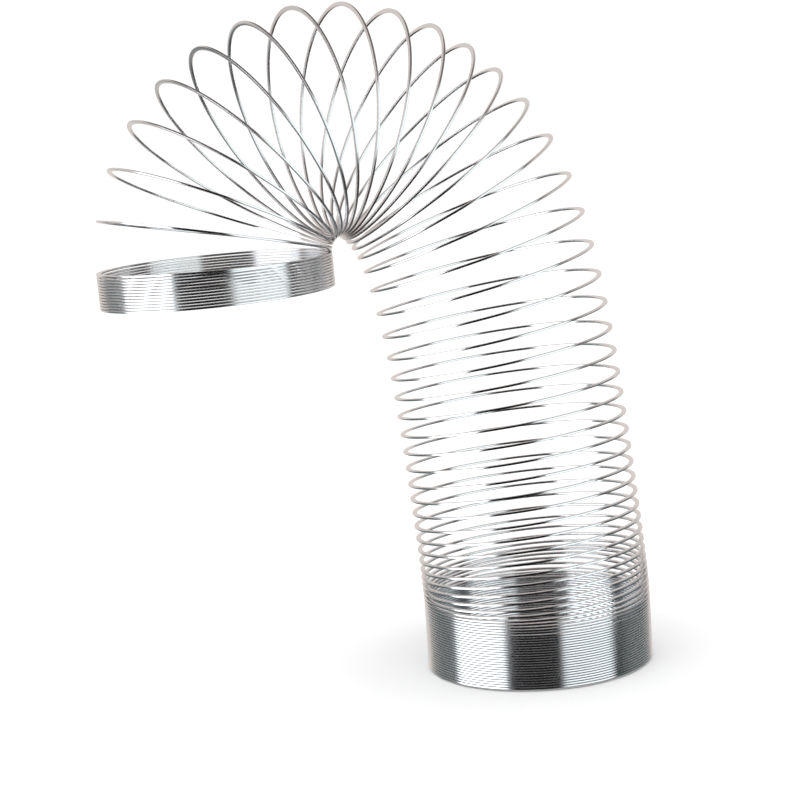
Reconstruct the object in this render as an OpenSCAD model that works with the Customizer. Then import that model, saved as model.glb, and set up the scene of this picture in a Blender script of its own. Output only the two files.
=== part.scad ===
// Spring coil toy: one closed coil of flat wire, bent in an arch, with a clip on each end.
// The wire is split into sub-parts at points where its twist is gathered in a hinge.
// A hinge's axis runs along the wire there, because a coil spring bends and stretches by twisting its wire.
// Units are mm. +Z is the axis of the lower stack, and the arch leans towards -X.

/* [Wire] */
// outside diameter of the coil
coil_d = 70; // [50:0.5:90]
// wire width, across the coil's wall
wire_w = 1.4; // [0.8:0.05:2.5]
// wire thickness, along the coil's axis
wire_t = 0.64; // [0.4:0.02:1.4]
// rise of one loose turn when the coil is closed
closed_pitch = 0.7; // [0.5:0.01:1.5]
// bevel on the wire's edges
wire_bevel = 0.2; // [0.05:0.01:0.3]

/* [Stacks] */
// closed turns in the lower stack
lower_turns = 22; // [10:1:40]
// rise of one turn in the lower stack, where the turns rest on each other
lower_pitch = 0.78; // [0.64:0.01:1.5]
// closed turns in the upper stack
upper_turns = 13; // [6:1:40]
// rise of one turn in the upper stack
upper_pitch = 0.84; // [0.64:0.01:1.5]
// depth of the grooves between closed turns
groove_depth = 0.14; // [0.05:0.01:0.3]

/* [End clips] */
// length of a clip along the wire
clip_len = 6; // [3:0.5:12]
// thickness of a clip's sheet
clip_t = 0.22; // [0.1:0.02:0.5]
// turns that a clip grips
clip_turns = 2; // [1:1:4]

/* [Rest shape: gap between turns on the tight side of the bend, mm] */
// turn -8
gap_a = 0.1; // [0:0.05:8]
// turn -6
gap_b = 0.1; // [0:0.05:8]
// turn -4
gap_c = 0.1; // [0:0.05:8]
// turn 0
gap_d = 0.35; // [0:0.05:8]
// turn 4
gap_e = 2.55; // [0:0.05:8]
// turn 10
gap_f = 4.3; // [0:0.05:8]
// turn 15
gap_g = 5.4; // [0:0.05:8]
// turn 19
gap_h = 6.8; // [0:0.05:8]
// turn 22
gap_i = 2.7; // [0:0.05:8]
// turn 25
gap_j = 0.1; // [0:0.05:8]
// turn 28
gap_k = 0.1; // [0:0.05:8]
// turn 32
gap_l = 0.1; // [0:0.05:8]
// turn 36
gap_m = 0.1; // [0:0.05:8]

/* [Rest shape: bend of one turn, degrees] */
// turn -8
bend_a = 0.05; // [0:0.05:16]
// turn -6
bend_b = 0.05; // [0:0.05:16]
// turn -4
bend_c = 1.1; // [0:0.05:16]
// turn 0
bend_d = 1.15; // [0:0.05:16]
// turn 4
bend_e = 0.2; // [0:0.05:16]
// turn 10
bend_f = 0.05; // [0:0.05:16]
// turn 15
bend_g = 0.75; // [0:0.05:16]
// turn 19
bend_h = 1.9; // [0:0.05:16]
// turn 22
bend_i = 8.5; // [0:0.05:16]
// turn 25
bend_j = 9.1; // [0:0.05:16]
// turn 28
bend_k = 12.6; // [0:0.05:16]
// turn 32
bend_l = 11.5; // [0:0.05:16]
// turn 36
bend_m = 12.8; // [0:0.05:16]

/* [Rest shape: place of the tight side, degrees round the wire from -X] */
// turn -8
side_a = 23; // [-180:1:180]
// turn -4
side_b = 32; // [-180:1:180]
// turn 0
side_c = -113; // [-180:1:180]
// turn 12
side_d = 22; // [-180:1:180]
// turn 19
side_e = -9; // [-180:1:180]
// turn 24
side_f = 9; // [-180:1:180]
// turn 29
side_g = 0; // [-180:1:180]
// turn 36
side_h = -7; // [-180:1:180]

/* [Hidden] */
stations = [-8, -6, -4, 0, 4, 10, 15, 19, 22, 25, 28, 32, 36];
side_stations = [-8, -4, 0, 12, 19, 24, 29, 36];
gaps = [gap_a, gap_b, gap_c, gap_d, gap_e, gap_f, gap_g, gap_h, gap_i, gap_j, gap_k, gap_l, gap_m];
bends = [
    bend_a, bend_b, bend_c, bend_d, bend_e, bend_f, bend_g, bend_h, bend_i, bend_j, bend_k, bend_l, bend_m
];
sides = [side_a, side_b, side_c, side_d, side_e, side_f, side_g, side_h];
// radius of the wire's centre line
mid_r = (coil_d - wire_w) / 2;
// turns are counted from the foot of the column: loose turns run from first_turn to last_turn
first_turn = -8;
last_turn = 36;
// a twist is gathered every half turn: even places on the far side of the bend, odd ones on the tight side
half_turns = 2 * (last_turn - first_turn);
// spaces between the turns of each stack
lower_space = lower_pitch - wire_t;
upper_space = upper_pitch - wire_t;
// height of the first loose turn's centre line
chain_z = lower_turns * lower_pitch - lower_space / 2 + closed_pitch / 2;
// gap left at each hinge, between the end faces of two sub-parts
hinge_gap = 0.04;
// half length of a collar, and how far the wire stops short of a fixed kink inside a collar
collar_half = 0.25;
kink_gap = 0.05;
// space round a clip
clip_gap = 0.03;
// extra space under the upper stack, so that the last fan turn can tilt without touching it
stack_lift = 0.14;
$fn = 120;

function turn_of(j) = first_turn + j / 2;
function at_turn(places, values, k) = lookup(k, [for (i = [0:len(places) - 1]) [places[i], values[i]]]);
function closed_twist() = closed_pitch / (2 * mid_r) * 180 / PI;
function gap_twist(k) = at_turn(stations, gaps, k) / (2 * mid_r) * 180 / PI;
// twist gathered at place j: the tight side's twist carries the bend of a whole turn
function twist(j) = closed_twist() + gap_twist(turn_of(j))
    + (j % 2 == 1 ? at_turn(stations, bends, turn_of(j)) : 0);
// angle round the wire at place j
function azimuth(j) = 180 * j + at_turn(side_stations, sides, turn_of(j));
function sweep(j) = azimuth(j + 1) - azimuth(j);

function move(x, z) = [[1, 0, 0, x], [0, 1, 0, 0], [0, 0, 1, z], [0, 0, 0, 1]];
function turn_z(a) = [[cos(a), -sin(a), 0, 0], [sin(a), cos(a), 0, 0], [0, 0, 1, 0], [0, 0, 0, 1]];
function turn_y(a) = [[cos(a), 0, sin(a), 0], [0, 1, 0, 0], [-sin(a), 0, cos(a), 0], [0, 0, 0, 1]];
// from the frame after place j to the frame at place j + 1, before its twist
function along(j) = move(-mid_r, 0) * turn_z(sweep(j)) * move(mid_r, 0);
// frames at every place, after its twist: x points out from the coil, y along the wire
start_frame = turn_z(azimuth(0)) * move(mid_r, chain_z);
frames = [for (j = 0, m = start_frame; j <= half_turns; m = m * along(j) * turn_y(twist(j + 1)), j = j + 1)
    m];

// the wire's section, grown by g on every side
function section(g = 0) = let (w = wire_w / 2 + g, t = wire_t / 2 + g, b = wire_bevel)
    [[w - b, -t], [w, b - t], [w, t - b], [w - b, t], [b - w, t], [-w, t - b], [-w, b - t], [b - w, -t]];

// an arc of wire in the frame after place j, from angle a to angle b
module arc(a, b, grow = 0)
    translate([-mid_r, 0, 0]) rotate([0, 0, a]) rotate_extrude(angle = b - a)
        translate([mid_r, 0]) polygon(section(grow));

// block that joins the two ends of the wire at a fixed kink
module collar(grow)
    cube([wire_w + 2 * grow, 2 * collar_half, wire_t + 2 * grow], center = true);

function degrees_of(length) = length / mid_r * 180 / PI;

// the wire from the hinge at place j to the hinge at place j + n, with fixed kinks between them
module wire_run(j, n) {
    for (i = [j:j + n - 1])
        multmatrix(frames[i])
            arc(degrees_of(i == j ? hinge_gap / 2 : kink_gap),
                sweep(i) - degrees_of(i == j + n - 1 ? hinge_gap / 2 : kink_gap));
    for (i = [j + 1:1:j + n - 1])
        multmatrix(frames[i] * turn_y(-twist(i) / 2)) collar(0.02 + wire_w / 2 * sin(twist(i) / 2));
}

// wall profile of a closed stack with a groove between turns, from z = 0 upwards
function stack_side(r, depth, turns, pitch) = [for (i = [0:turns - 1]) each
    let (z = i * pitch, floor_r = r - depth * sign(r - mid_r)) [
    [floor_r, z],
    [r, z + depth],
    [r, z + wire_t - depth],
    [floor_r, z + wire_t]]];
module stack_wall(turns, pitch) {
    outer = stack_side(mid_r + wire_w / 2, groove_depth, turns, pitch);
    inner = stack_side(mid_r - wire_w / 2, groove_depth, turns, pitch);
    rotate_extrude()
        polygon(concat(outer, [for (i = [len(inner) - 1:-1:0]) inner[i]]));
}

// half ring that lies on a stack and leads to the chain of loose turns, joined to the stack by a web
module lead_ring(a, b, up) {
    web = wire_w / 2 - groove_depth - 0.1;
    web_top = closed_pitch / 2 + 0.1 + (up > 0 ? stack_lift + upper_space / 2 : lower_space / 2);
    translate([-mid_r, 0, 0]) rotate([0, 0, a]) rotate_extrude(angle = b - a)
        translate([mid_r, 0]) polygon(up > 0
            ? concat([for (i = [0:3]) section()[i]], [[web, wire_t / 2], [web, web_top],
                [-web, web_top], [-web, wire_t / 2]], [for (i = [4:7]) section()[i]])
            : concat([[-web, -wire_t / 2], [-web, -web_top], [web, -web_top], [web, -wire_t / 2]],
                section()));
}

module clip_notch() rotate([0, 0, -1]) rotate_extrude(angle = degrees_of(clip_len) + 2)
    translate([mid_r - wire_w, -1]) square([2 * wire_w, 1 + 2 * clip_gap + clip_t]);

// clip folded over a stack's end turns, from z = 0 upwards
module end_clip(pitch) {
    inside = wire_w / 2 + clip_gap;
    outside = inside + clip_t;
    top = clip_turns * pitch;
    rotate_extrude(angle = degrees_of(clip_len)) translate([mid_r, clip_gap]) polygon([[-outside, 0],
        [outside, 0], [outside, top], [inside, top], [inside, clip_t], [-inside, clip_t], [-inside, top],
        [-outside, top]]);
}

// place of the upper stack's end face: flipped so that its end turns face z = 0
module upper_end()
    multmatrix(frames[half_turns - 1])
        translate([-mid_r, 0, closed_pitch / 2 + stack_lift + upper_turns * upper_pitch - upper_space / 2])
            rotate([180, 0, 0]) children();

module lower_stack() color("silver") {
    difference() {
        stack_wall(lower_turns, lower_pitch);
        rotate([0, 0, 60]) clip_notch();
    }
    multmatrix(frames[0]) lead_ring(0, sweep(0) - degrees_of(hinge_gap / 2), -1);
}
module lower_end_clip() color("gainsboro") rotate([0, 0, 60]) end_clip(lower_pitch);

module upper_stack() color("silver") {
    upper_end() difference() {
        stack_wall(upper_turns, upper_pitch);
        rotate([0, 0, 60]) clip_notch();
    }
    multmatrix(frames[half_turns - 1]) lead_ring(degrees_of(hinge_gap / 2), sweep(half_turns - 1), 1);
}
module upper_end_clip() color("gainsboro") upper_end() rotate([0, 0, 60]) end_clip(upper_pitch);

module base_turn_1() color("silver") wire_run(1, 2);
module base_turn_2() color("silver") wire_run(3, 2);
module base_turn_3() color("silver") wire_run(5, 2);
module base_turn_4() color("silver") wire_run(7, 2);
module base_turn_5() color("silver") wire_run(9, 2);
module base_turn_6() color("silver") wire_run(11, 2);
module base_turn_7() color("silver") wire_run(13, 2);
module base_turn_8() color("silver") wire_run(15, 2);

module column_turns_1() color("silver") wire_run(17, 3);
module column_turns_2() color("silver") wire_run(20, 3);
module column_turns_3() color("silver") wire_run(23, 3);
module column_turns_4() color("silver") wire_run(26, 3);
module column_turns_5() color("silver") wire_run(29, 3);
module column_turns_6() color("silver") wire_run(32, 3);

module column_half_1() color("silver") wire_run(35, 1);
module column_half_2() color("silver") wire_run(36, 1);
module column_half_3() color("silver") wire_run(37, 1);
module column_half_4() color("silver") wire_run(38, 1);
module column_half_5() color("silver") wire_run(39, 1);
module column_half_6() color("silver") wire_run(40, 1);
module column_half_7() color("silver") wire_run(41, 1);
module column_half_8() color("silver") wire_run(42, 1);
module column_half_9() color("silver") wire_run(43, 1);
module column_half_10() color("silver") wire_run(44, 1);
module column_half_11() color("silver") wire_run(45, 1);
module column_half_12() color("silver") wire_run(46, 1);
module column_half_13() color("silver") wire_run(47, 1);
module column_half_14() color("silver") wire_run(48, 1);
module column_half_15() color("silver") wire_run(49, 1);
module column_half_16() color("silver") wire_run(50, 1);
module column_half_17() color("silver") wire_run(51, 1);
module column_half_18() color("silver") wire_run(52, 1);
module column_half_19() color("silver") wire_run(53, 1);
module column_half_20() color("silver") wire_run(54, 1);
module column_half_21() color("silver") wire_run(55, 1);
module column_half_22() color("silver") wire_run(56, 1);

module fan_turn_1() color("silver") wire_run(57, 2);
module fan_turn_2() color("silver") wire_run(59, 2);
module fan_turn_3() color("silver") wire_run(61, 2);
module fan_turn_4() color("silver") wire_run(63, 2);
module fan_turn_5() color("silver") wire_run(65, 2);
module fan_turn_6() color("silver") wire_run(67, 2);
module fan_turn_7() color("silver") wire_run(69, 2);
module fan_turn_8() color("silver") wire_run(71, 2);
module fan_turn_9() color("silver") wire_run(73, 2);
module fan_turn_10() color("silver") wire_run(75, 2);
module fan_turn_11() color("silver") wire_run(77, 2);
module fan_turn_12() color("silver") wire_run(79, 2);
module fan_turn_13() color("silver") wire_run(81, 2);
module fan_turn_14() color("silver") wire_run(83, 2);
module fan_turn_15() color("silver") wire_run(85, 2);

lower_stack();
lower_end_clip();
base_turn_1();
base_turn_2();
base_turn_3();
base_turn_4();
base_turn_5();
base_turn_6();
base_turn_7();
base_turn_8();
column_turns_1();
column_turns_2();
column_turns_3();
column_turns_4();
column_turns_5();
column_turns_6();
column_half_1();
column_half_2();
column_half_3();
column_half_4();
column_half_5();
column_half_6();
column_half_7();
column_half_8();
column_half_9();
column_half_10();
column_half_11();
column_half_12();
column_half_13();
column_half_14();
column_half_15();
column_half_16();
column_half_17();
column_half_18();
column_half_19();
column_half_20();
column_half_21();
column_half_22();
fan_turn_1();
fan_turn_2();
fan_turn_3();
fan_turn_4();
fan_turn_5();
fan_turn_6();
fan_turn_7();
fan_turn_8();
fan_turn_9();
fan_turn_10();
fan_turn_11();
fan_turn_12();
fan_turn_13();
fan_turn_14();
fan_turn_15();
upper_stack();
upper_end_clip();
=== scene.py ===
"""Spring coil toy: a closed coil of flat steel wire, bent in an arch, with a small clip on each end.

The wire is swept along the coil's true curve. A coil spring bends and stretches by twisting its
wire, so the curve is found by turning a frame round the coil while it twists about the wire.
The wire is cut into pieces: one round each hinge of the frame, and one for each stretch between
hinges, which rides on its body.
"""

import math

import bpy
import numpy as np
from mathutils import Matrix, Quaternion, Vector


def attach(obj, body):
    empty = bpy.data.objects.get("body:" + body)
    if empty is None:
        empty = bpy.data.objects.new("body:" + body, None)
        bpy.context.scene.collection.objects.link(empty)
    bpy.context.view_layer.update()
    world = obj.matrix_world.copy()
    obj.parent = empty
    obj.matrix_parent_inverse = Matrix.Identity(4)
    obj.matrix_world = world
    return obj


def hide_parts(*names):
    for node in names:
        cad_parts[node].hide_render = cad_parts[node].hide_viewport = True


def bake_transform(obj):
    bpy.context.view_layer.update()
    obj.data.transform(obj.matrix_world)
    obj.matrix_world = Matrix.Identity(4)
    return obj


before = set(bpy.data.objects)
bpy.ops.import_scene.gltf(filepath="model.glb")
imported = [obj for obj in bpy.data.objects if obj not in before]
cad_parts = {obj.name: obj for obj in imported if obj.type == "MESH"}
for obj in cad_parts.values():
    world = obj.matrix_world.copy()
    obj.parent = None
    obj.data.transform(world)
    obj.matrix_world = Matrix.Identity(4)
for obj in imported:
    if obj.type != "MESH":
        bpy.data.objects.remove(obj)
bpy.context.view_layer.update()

MM = 0.001

# ---------------------------------------------------------------- the coil's sizes, in mm
MID_RADIUS = 34.3
WIRE_WIDTH = 1.4
WIRE_THICK = 0.64
EDGE_RADIUS = 0.12
CORNER_POINTS = 4
# height of one turn: of the loose turns when closed, and of each closed stack
CLOSED_PITCH = 0.70
LOWER_PITCH = 0.78
UPPER_PITCH = 0.84
LOWER_TURNS = 22
UPPER_TURNS = 13
# space under the upper stack
STACK_LIFT = 0.14
# numbers of the first and last loose turns, samples of the shape for each turn, and the sweep's step
FIRST_TURN, LAST_TURN = -8, 36
SHAPE_SAMPLES = 100
STEP_DEG = 3.0

# rest shape: gap on the tight side and bend of one turn, at numbered turns of the coil
TURNS = [-8, -6, -4, 0, 4, 10, 15, 19, 22, 25, 28, 32, 36]
GAPS = [0.1, 0.1, 0.1, 0.35, 2.55, 4.3, 5.4, 6.8, 2.7, 0.1, 0.1, 0.1, 0.1]
BENDS = [0.05, 0.05, 1.1, 1.15, 0.2, 0.05, 0.75, 1.9, 8.5, 9.1, 12.6, 11.5, 12.8]
# place of the tight side round the wire, in degrees from -X
SIDE_TURNS = [-8, -4, 0, 12, 19, 24, 29, 36]
SIDES = [23, 32, -113, 22, -9, 9, 0, -7]

# the clips: the lower one's place round its stack, the wire that runs on into the upper stack's last
# turn, each clip's length along the wire, its sheet, its folds' inner radius and its softened edges
CLIP_AZIMUTH = 65.0
UPPER_END_DEG = 115.0
CLIP_LENGTH = 6.0
CLIP_SHEET = 0.22
CLIP_GAP = 0.03
CLIP_FOLD = 0.12
CLIP_BEVEL = 0.05
FOLD_STEPS = 4
CLIP_RINGS = 13


def rotations(vectors):
    """Rotation matrices of an array of rotation vectors."""
    angle = np.linalg.norm(vectors, axis=1)
    axis = vectors / np.maximum(angle, 1e-12)[:, None]
    skew = np.zeros((len(vectors), 3, 3))
    skew[:, 0, 1], skew[:, 0, 2], skew[:, 1, 2] = -axis[:, 2], axis[:, 1], -axis[:, 0]
    skew -= skew.transpose(0, 2, 1)
    sine, cosine = np.sin(angle)[:, None, None], np.cos(angle)[:, None, None]
    return np.eye(3) + sine * skew + (1 - cosine) * (skew @ skew)


class Coil:
    """The wire's centre line: a point and a frame for each sample.
    A frame's columns are out (away from the coil's axis), along (the wire) and up (the coil's axis)."""

    def __init__(self):
        turns = np.linspace(FIRST_TURN, LAST_TURN, (LAST_TURN - FIRST_TURN) * SHAPE_SAMPLES + 1)
        azimuth = 360 * (turns - FIRST_TURN) + np.interp(turns, SIDE_TURNS, SIDES)
        self.start = azimuth[0]
        self.end = azimuth[-1]
        # the wire's lower end is at the lower clip, and its upper end at the upper clip
        below = LOWER_TURNS * 360 - (CLIP_AZIMUTH - CLIP_LENGTH / 2 - self.start)
        above = (UPPER_TURNS - 1) * 360 + UPPER_END_DEG
        first, last = self.start - below, self.end + above
        count = int(round((last - first) / STEP_DEG))
        edges = np.linspace(first, last, count + 1)
        self.azimuth = edges
        self.step = math.radians(edges[1] - edges[0])
        middle = (edges[:-1] + edges[1:]) / 2
        turn = np.interp(middle, azimuth, turns)
        loose = (middle > self.start) & (middle < self.end)
        pitch = np.where(middle < self.end, CLOSED_PITCH, UPPER_PITCH)
        pitch += np.where((middle > self.end) & (middle < self.end + 360), STACK_LIFT, 0)
        twist = self.twist_rate(turn, np.radians(middle), loose, pitch)
        origin = int(round(below / math.degrees(self.step)))
        self.points, self.frames = self.sweep(twist, origin)

    @staticmethod
    def twist_rate(turn, azimuth, loose, pitch):
        """Twist about the wire for each radian round the coil."""
        closed = pitch / (2 * math.pi * MID_RADIUS)
        gap = np.where(loose, np.interp(turn, TURNS, GAPS), 0) / (2 * math.pi * MID_RADIUS)
        bend = np.radians(np.where(loose, np.interp(turn, TURNS, BENDS), 0)) / math.pi
        side = np.radians(np.interp(turn, SIDE_TURNS, SIDES))
        return closed + gap + bend / 2 - bend * np.cos(azimuth - side)

    def sweep(self, twist, origin):
        """Integrates the frames up from the sample at origin, and goes down from it along the
        lower stack's level helix."""
        start = math.radians(self.start)
        out = [math.cos(start), math.sin(start), 0]
        along = [-math.sin(start), math.cos(start), 0]
        first = np.array([out, along, [0, 0, 1]], float).T
        stack_top = LOWER_TURNS * LOWER_PITCH - (LOWER_PITCH - WIRE_THICK) / 2
        height = stack_top + CLOSED_PITCH / 2
        # the wire's end rests on the clip's sheet
        fall = (height - WIRE_THICK / 2 - CLIP_SHEET - 2 * CLIP_GAP) / origin
        local = np.zeros((len(twist), 3))
        local[:, 1] = twist * self.step
        local[:, 2] = self.step
        half = rotations(local / 2)
        whole = rotations(local)
        chord = 2 * MID_RADIUS * math.sin(self.step / 2)
        frames = [first]
        points = [first[:, 0] * MID_RADIUS + np.array([0, 0, height])]
        for i in range(origin, len(twist)):
            points.append(points[-1] + chord * (frames[-1] @ half[i])[:, 1])
            frames.append(frames[-1] @ whole[i])
        down = np.arange(origin, 0, -1)
        angle = start - down * self.step
        level_frames = np.zeros((origin, 3, 3))
        level_frames[:, 0, 0], level_frames[:, 1, 0] = np.cos(angle), np.sin(angle)
        level_frames[:, 0, 1], level_frames[:, 1, 1] = -np.sin(angle), np.cos(angle)
        level_frames[:, 2, 2] = 1
        level = level_frames[:, :, 0] * MID_RADIUS
        level[:, 2] = height - fall * down
        return np.concatenate([level, points]), np.concatenate([level_frames, frames])

    def index(self, place):
        """Sample nearest to a place, counted in half turns from the first loose turn."""
        turn = FIRST_TURN + place / 2
        if turn <= LAST_TURN:
            azimuth = 180 * place + np.interp(turn, SIDE_TURNS, SIDES)
        else:
            azimuth = self.end + 180 * (place - 2 * (LAST_TURN - FIRST_TURN))
        return int(round((azimuth - self.azimuth[0]) / math.degrees(self.step)))


def wire_section():
    """Outline of the flat wire with rounded edges, as (out, up) pairs."""
    across, high = WIRE_WIDTH / 2 - EDGE_RADIUS, WIRE_THICK / 2 - EDGE_RADIUS
    outline = []
    for quarter, (x, z) in enumerate([(1, 1), (-1, 1), (-1, -1), (1, -1)]):
        for i in range(CORNER_POINTS):
            angle = math.pi / 2 * (quarter + i / (CORNER_POINTS - 1))
            outline.append((x * across + EDGE_RADIUS * math.cos(angle),
                            z * high + EDGE_RADIUS * math.sin(angle)))
    return np.array(outline)


def swept_faces(rings, n):
    """Side faces of a form swept through rings of n points each."""
    return [(r * n + i, r * n + (i + 1) % n, (r + 1) * n + (i + 1) % n, (r + 1) * n + i)
            for r in range(rings - 1) for i in range(n)]


def new_object(name, verts, faces, around):
    """A mesh object in the scene. Its attribute "around" holds each point's place in the section
    and its place along the wire, for the material's lines."""
    mesh = bpy.data.meshes.new(name)
    mesh.from_pydata(verts.tolist(), [], faces)
    attribute = mesh.attributes.new("around", "FLOAT_VECTOR", "POINT")
    attribute.data.foreach_set("vector", around.ravel())
    obj = bpy.data.objects.new(name, mesh)
    bpy.context.scene.collection.objects.link(obj)
    return obj


def wire_mesh(name, coil, first, last):
    """Sweeps the wire's section from sample first to sample last, with flat ends."""
    section = wire_section()
    n = len(section)
    rings = last - first + 1
    points, frames = coil.points[first:last + 1], coil.frames[first:last + 1]
    verts = (points[:, None, :] + section[None, :, 0, None] * frames[:, None, :, 0]
             + section[None, :, 1, None] * frames[:, None, :, 2]).reshape(-1, 3) * MM
    along = np.repeat(np.arange(first, last + 1) * coil.step * MID_RADIUS, n)
    around = np.stack([np.tile(section[:, 0], rings), np.tile(section[:, 1], rings), along], 1) * MM
    # the flat ends have points of their own, so that they don't turn the wire's smooth shading
    ends = [slice(0, n), slice((rings - 1) * n, rings * n)]
    verts = np.concatenate([verts] + [verts[end] for end in ends])
    around = np.concatenate([around] + [around[end] for end in ends])
    faces = swept_faces(rings, n)
    faces.append(tuple(rings * n + i for i in range(n))[::-1])
    faces.append(tuple((rings + 1) * n + i for i in range(n)))
    obj = new_object(name, verts, faces, around)
    obj.data.shade_smooth()
    obj.data.update()
    return obj


# ---------------------------------------------------------------- materials
# fine drawn lines along the wire, slow patches of roughness, and the lines' darker tone and relief
LINE_SCALE, LINE_DETAIL, LINE_STRETCH = 9000.0, 3.0, 0.012
PATCH_SCALE, PATCH_DETAIL, PATCH_RANGE = 55.0, 4.0, (0.3, 0.7)
LINE_TONE = 0.88
BUMP_STRENGTH, BUMP_DEPTH = 0.05, 0.00002


def nodes_of(material):
    """The material's nodes and links, and its shader."""
    material.use_nodes = True
    nodes = material.node_tree.nodes
    return nodes, material.node_tree.links, nodes["Principled BSDF"]


def noise(nodes, scale, detail):
    node = nodes.new("ShaderNodeTexNoise")
    node.inputs["Scale"].default_value = scale
    node.inputs["Detail"].default_value = detail
    return node


def set_range(node, names, numbers):
    for name, number in zip(names, numbers):
        node.inputs[name].default_value = number


def steel(name, colour, roughness):
    """Drawn steel: fine lines along the wire, and slow changes of roughness between two values."""
    material = bpy.data.materials.new(name)
    nodes, links, shader = nodes_of(material)
    shader.inputs["Metallic"].default_value = 1.0
    around = nodes.new("ShaderNodeAttribute")
    around.attribute_name = "around"
    stretch = nodes.new("ShaderNodeMapping")
    stretch.inputs["Scale"].default_value = (1.0, 1.0, LINE_STRETCH)
    links.new(around.outputs["Vector"], stretch.inputs["Vector"])
    lines = noise(nodes, LINE_SCALE, LINE_DETAIL)
    links.new(stretch.outputs["Vector"], lines.inputs["Vector"])
    patches = noise(nodes, PATCH_SCALE, PATCH_DETAIL)
    place = nodes.new("ShaderNodeTexCoord")
    links.new(place.outputs["Object"], patches.inputs["Vector"])
    rough = nodes.new("ShaderNodeMapRange")
    set_range(rough, ("From Min", "From Max", "To Min", "To Max"), (*PATCH_RANGE, *roughness))
    links.new(patches.outputs["Fac"], rough.inputs["Value"])
    links.new(rough.outputs["Result"], shader.inputs["Roughness"])
    tone = nodes.new("ShaderNodeMix")
    tone.data_type = "RGBA"
    tone.inputs["A"].default_value = (*[c * LINE_TONE for c in colour], 1)
    tone.inputs["B"].default_value = (*colour, 1)
    links.new(lines.outputs["Fac"], tone.inputs["Factor"])
    links.new(tone.outputs["Result"], shader.inputs["Base Color"])
    bump = nodes.new("ShaderNodeBump")
    bump.inputs["Strength"].default_value = BUMP_STRENGTH
    bump.inputs["Distance"].default_value = BUMP_DEPTH
    links.new(lines.outputs["Fac"], bump.inputs["Height"])
    links.new(bump.outputs["Normal"], shader.inputs["Normal"])
    return material


wire_steel = steel("spring steel", (0.80, 0.82, 0.84), (0.10, 0.20))
clip_steel = steel("clip steel", (0.62, 0.63, 0.65), (0.22, 0.34))


def finish_piece(obj, material, slot, *replaced):
    """Gives a piece its material, and hides the CAD nodes that it replaces. The slot is not used."""
    obj.data.materials.append(material)
    if replaced:
        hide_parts(*replaced)


# ---------------------------------------------------------------- the wire's pieces
coil = Coil()
# the hinged bodies in order up the coil: their name, how many, and the half turns that each holds
RUNS = [("base_turn", 8, 2), ("column_turns", 6, 3), ("column_half", 22, 1), ("fan_turn", 15, 2)]


def chain():
    """The bodies in order up the coil, each with the place of the hinge that it starts at."""
    links, place = [("lower_stack", 0)], 1
    for name, count, half_turns in RUNS:
        for i in range(count):
            links.append((f"{name}_{i + 1}", place))
            place += half_turns
    links.append(("upper_stack", place))
    return links


def make_wire():
    """One piece a quarter turn each way round every hinge, and the stretches between them."""
    links = chain()
    for (parent, _), (child, place) in zip(links, links[1:]):
        piece = wire_mesh(f"wire_{child}", coil, coil.index(place - 0.5), coil.index(place + 0.5))
        finish_piece(piece, wire_steel, "spring_steel", child)
        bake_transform(piece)
    for (body, place), (_, following) in zip(links[1:], links[2:]):
        if following - place > 1:
            piece = wire_mesh(f"wire_{body}_far", coil,
                              coil.index(place + 0.5), coil.index(following - 0.5))
            finish_piece(piece, wire_steel, "spring_steel")
            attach(piece, body)
    lower = wire_mesh("wire_lower_stack", coil, 0, coil.index(0.5))
    finish_piece(lower, wire_steel, "spring_steel", "lower_stack")
    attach(lower, "lower_stack")
    last = links[-1][1]
    upper = wire_mesh("wire_upper_stack", coil, coil.index(last + 0.5), len(coil.points) - 1)
    finish_piece(upper, wire_steel, "spring_steel", "upper_stack")
    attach(upper, "upper_stack")


def clip_section(pitch):
    """Outline of a strip folded round two turns of wire, open at the top, as (out, up) pairs."""
    inside = WIRE_WIDTH / 2 + CLIP_GAP
    outer = inside + CLIP_SHEET
    low = -(WIRE_THICK / 2 + CLIP_GAP + CLIP_SHEET)
    high = low + 2 * pitch
    wide = CLIP_FOLD + CLIP_SHEET

    def fold(centre, radius, start, sweep):
        angles = [math.radians(start + sweep * i / FOLD_STEPS) for i in range(FOLD_STEPS + 1)]
        return [(centre + radius * math.cos(angle), low + wide + radius * math.sin(angle))
                for angle in angles]

    outline = [(-outer, high), (-inside, high)]
    outline += fold(-inside + CLIP_FOLD, CLIP_FOLD, 180, 90)
    outline += fold(inside - CLIP_FOLD, CLIP_FOLD, 270, 90)
    outline += [(inside, high), (outer, high)]
    outline += fold(outer - wide, wide, 0, -90)
    outline += fold(-outer + wide, wide, -90, -90)
    return np.array(outline)


def make_clip(node, body, sample, pitch, opens):
    """A strip folded round the wire's end and its neighbour. It opens up (1) or down (-1)."""
    point, basis = coil.points[sample], coil.frames[sample]
    outline = clip_section(pitch) * (1, opens)
    verts = []
    for r in range(CLIP_RINGS):
        angle = (r / (CLIP_RINGS - 1) - 0.5) * CLIP_LENGTH / MID_RADIUS
        out = math.cos(angle) * basis[:, 0] + math.sin(angle) * basis[:, 1]
        centre = point - MID_RADIUS * basis[:, 0] + pitch * angle / (2 * math.pi) * basis[:, 2]
        for x, z in outline:
            verts.append((centre + (MID_RADIUS + x) * out + z * basis[:, 2]) * MM)
    n = len(outline)
    faces = swept_faces(CLIP_RINGS, n)
    faces += [tuple(range(n))[::-1], tuple((CLIP_RINGS - 1) * n + i for i in range(n))]
    around = np.array([(x, z, r) for r in range(CLIP_RINGS) for x, z in outline]) * MM
    obj = new_object(f"folded_{node}", np.array(verts), faces, around)
    soften = obj.modifiers.new("rounded edges", "BEVEL")
    soften.width, soften.segments, soften.limit_method = CLIP_BEVEL * MM, 2, "ANGLE"
    finish_piece(obj, clip_steel, "clip_steel", node)
    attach(obj, body)


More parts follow.
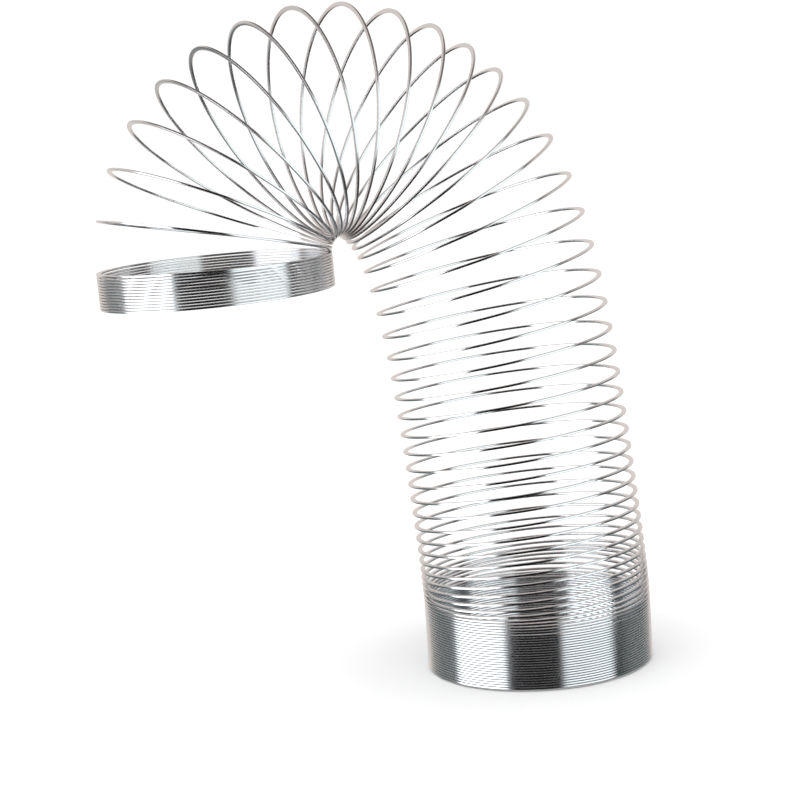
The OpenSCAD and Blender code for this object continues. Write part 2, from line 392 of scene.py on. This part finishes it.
make_wire()
clip_half = int(round(CLIP_LENGTH / 2 / (coil.step * MID_RADIUS)))
make_clip("lower_end_clip", "lower_stack", clip_half, LOWER_PITCH, 1)
make_clip("upper_end_clip", "upper_stack", len(coil.points) - 1 - clip_half, UPPER_PITCH, -1)


# ---------------------------------------------------------------- floor, light and camera
FLOOR_HALF = 6.0
FLOOR_COLOUR, FLOOR_ROUGH = (0.93, 0.93, 0.93, 1), 0.8


def make_floor():
    """A flat pale floor, matt so that no horizon line shows."""
    side = FLOOR_HALF
    mesh = bpy.data.meshes.new("floor")
    corners = [(-side, -side, 0), (side, -side, 0), (side, side, 0), (-side, side, 0)]
    mesh.from_pydata(corners, [], [(0, 1, 2, 3)])
    floor = bpy.data.objects.new("floor", mesh)
    bpy.context.scene.collection.objects.link(floor)
    material = bpy.data.materials.new("pale floor")
    _, _, shader = nodes_of(material)
    shader.inputs["Base Color"].default_value = FLOOR_COLOUR
    shader.inputs["Roughness"].default_value = FLOOR_ROUGH
    shader.inputs["Specular IOR Level"].default_value = 0.0
    mesh.materials.append(material)
    # the object in the photograph is held up, so its steel doesn't mirror the floor
    floor.visible_glossy = False


def area_light(name, place, target, size, power):
    data = bpy.data.lights.new(name, "AREA")
    data.shape, data.size, data.size_y = "RECTANGLE", *size
    data.energy = power
    obj = bpy.data.objects.new(name, data)
    obj.location = place
    obj.rotation_euler = (Vector(target) - Vector(place)).to_track_quat("-Z", "Y").to_euler()
    obj.visible_glossy = False
    bpy.context.scene.collection.objects.link(obj)


# What the steel reflects. Azimuths are in degrees from -Y towards +X, heights are the ray's Z, and
# each pair of limits is where one tone starts and ends its change into the next.
ROOM_FRONT = -13
# tall softboxes: azimuth, half width and colour
SOFTBOXES = [(-80.5, 28.5, (2.5, 2.55, 2.6)), (35, 28.5, (1.30, 1.38, 1.38))]
SOFTBOX_EDGE = 4
SOFTBOX_TOP = 0.55, 0.7
# how far round from the front the dark front ends, and the pale wall behind begins: for rays that
# go down, and for level ones
FRONT_END = 70, 105
LOW_WALL = 142, 160
LEVEL_WALL = 122, 142
LOW_TO_LEVEL = -0.26, -0.18
LEVEL_TO_HIGH = -0.08, 0.10
CEILING_START = 0.40, 0.65
GROUND_START = -0.70, -0.35
DARK_FRONT = (0.006, 0.010, 0.012)
DIM_SIDES = (0.13, 0.165, 0.17)
PALE_WALL = (0.80, 0.72, 0.68)
CEILING = (0.20, 0.17, 0.16)
GROUND = (0.050, 0.040, 0.036)
WHITE = (1.12, 1.12, 1.12)


def make_world():
    """White round the scene for the camera and the floor. Metal sees a studio: dark in front, with a
    tall softbox on each side, dim sides, a pale wall behind, and a dim ceiling and ground."""
    world = bpy.data.worlds.new("studio")
    world.use_nodes = True
    bpy.context.scene.world = world
    nodes, links = world.node_tree.nodes, world.node_tree.links

    def math_node(operation, *inputs):
        node = nodes.new("ShaderNodeMath")
        node.operation = operation
        for socket, value in zip(node.inputs, inputs):
            if isinstance(value, (int, float)):
                socket.default_value = value
            else:
                links.new(value, socket)
        return node.outputs[0]

    def smooth(value, limits, ends=(0.0, 1.0)):
        node = nodes.new("ShaderNodeMapRange")
        node.interpolation_type = "SMOOTHSTEP"
        links.new(value, node.inputs["Value"])
        set_range(node, ("From Min", "From Max", "To Min", "To Max"), (*limits, *ends))
        return node.outputs["Result"]

    def mix(factor, a, b):
        node = nodes.new("ShaderNodeMix")
        node.data_type = "RGBA"
        links.new(factor, node.inputs["Factor"])
        for name, colour in (("A", a), ("B", b)):
            if isinstance(colour, tuple):
                node.inputs[name].default_value = (*colour, 1)
            else:
                links.new(colour, node.inputs[name])
        return node.outputs["Result"]

    direction = nodes.new("ShaderNodeTexCoord")
    split = nodes.new("ShaderNodeSeparateXYZ")
    links.new(direction.outputs["Generated"], split.inputs["Vector"])
    x, y, z = split.outputs
    azimuth = math_node("ARCTAN2", x, math_node("MULTIPLY", y, -1.0))

    def away(degrees, limits, ends=(0.0, 1.0)):
        """Changes with the angle between the ray and an azimuth, between limits in degrees."""
        turned = math_node("SUBTRACT", azimuth, math.radians(degrees))
        angle = math_node("ARCCOSINE", math_node("COSINE", turned))
        return smooth(angle, [math.radians(limit) for limit in limits], ends)

    low = mix(away(ROOM_FRONT, LOW_WALL), DIM_SIDES, PALE_WALL)
    level = mix(away(ROOM_FRONT, LEVEL_WALL), DIM_SIDES, PALE_WALL)
    behind = mix(smooth(z, LEVEL_TO_HIGH), mix(smooth(z, LOW_TO_LEVEL), low, level), PALE_WALL)
    studio = mix(away(ROOM_FRONT, FRONT_END), DARK_FRONT, behind)
    for place, half_width, colour in SOFTBOXES:
        limits = half_width - SOFTBOX_EDGE, half_width + SOFTBOX_EDGE
        across = away(place, limits, (1.0, 0.0))
        high = smooth(math_node("ABSOLUTE", z), SOFTBOX_TOP, (1.0, 0.0))
        studio = mix(math_node("MULTIPLY", across, high), studio, colour)
    studio = mix(smooth(z, CEILING_START), studio, CEILING)
    studio = mix(smooth(z, GROUND_START, (1.0, 0.0)), studio, GROUND)
    rays = nodes.new("ShaderNodeLightPath")
    shown = mix(rays.outputs["Is Glossy Ray"], WHITE, studio)
    background = nodes["Background"]
    links.new(shown, background.inputs["Color"])
    background.inputs["Strength"].default_value = 1.0
    world.cycles.sampling_method = "NONE"


def make_camera(azimuth, elevation, roll, distance, target, lens):
    turn, lift = math.radians(azimuth), math.radians(elevation)
    back = Vector((math.sin(turn) * math.cos(lift), -math.cos(turn) * math.cos(lift), math.sin(lift)))
    data = bpy.data.cameras.new("camera")
    data.lens, data.sensor_width = lens, 36
    camera = bpy.data.objects.new("camera", data)
    camera.location = Vector(target) + distance * back
    upright = (-back).to_track_quat("-Z", "Y")
    camera.rotation_euler = (upright @ Quaternion((0, 0, 1), math.radians(roll))).to_euler()
    bpy.context.scene.collection.objects.link(camera)
    bpy.context.scene.camera = camera


make_floor()
make_world()
area_light("top softbox", place=(-0.3, -0.4, 1.6), target=(0, 0, 0.1), size=(1.4, 1.4), power=6)
bpy.context.scene.view_settings.view_transform = "Standard"
make_camera(azimuth=-13.1, elevation=9.7, roll=-3.9, distance=0.669,
            target=(-0.0437, -0.0185, 0.0897), lens=102.3)
